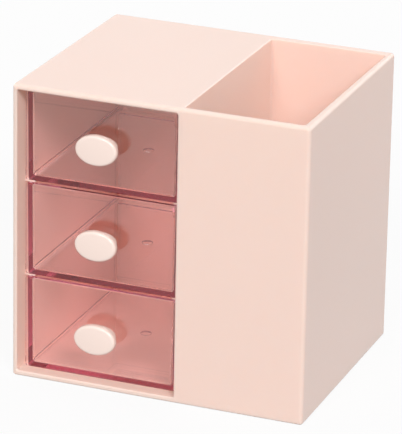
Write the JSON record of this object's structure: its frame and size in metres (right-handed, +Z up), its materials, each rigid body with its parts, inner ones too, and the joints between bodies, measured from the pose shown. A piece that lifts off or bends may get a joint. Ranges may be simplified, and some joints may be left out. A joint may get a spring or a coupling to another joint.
{
  "type": "desk organizer",
  "caption": "Moulded desk organizer with a deep open pen compartment beside stacked clear drawers, each pulled out by an oval mushroom knob.",
  "frame": {"origin": "middle of the housing's flat base", "axes": "+X to the right seen from the front, +Y towards the back, +Z up; the drawers open towards -Y"},
  "size_m": [0.1406, 0.1178, 0.14],
  "materials": {
    "housing_plastic": "satin pale pink moulded plastic",
    "tray_plastic": "clear rose-tinted plastic, polished",
    "knob_plastic": "satin cream pink moulded plastic",
    "screw_steel": "zinc-plated steel"
  },
  "bodies": {
    "case": {"housing": "housing_plastic"},
    "drawer_bottom": {"drawer_tray_bottom": "tray_plastic", "drawer_knob_bottom": "knob_plastic", "knob_screw_bottom": "screw_steel"},
    "drawer_middle": {"drawer_tray_middle": "tray_plastic", "drawer_knob_middle": "knob_plastic", "knob_screw_middle": "screw_steel"},
    "drawer_top": {"drawer_tray_top": "tray_plastic", "drawer_knob_top": "knob_plastic", "knob_screw_top": "screw_steel"}
  },
  "joints": [
    {"name": "bottom_drawer_slide", "type": "slide", "parent": "case", "child": "drawer_bottom", "axis": [0, -1, 0], "range_m": [0, 0.08]},
    {"name": "middle_drawer_slide", "type": "slide", "parent": "case", "child": "drawer_middle", "axis": [0, -1, 0], "range_m": [0, 0.08]},
    {"name": "top_drawer_slide", "type": "slide", "parent": "case", "child": "drawer_top", "axis": [0, -1, 0], "range_m": [0, 0.08]}
  ]
}
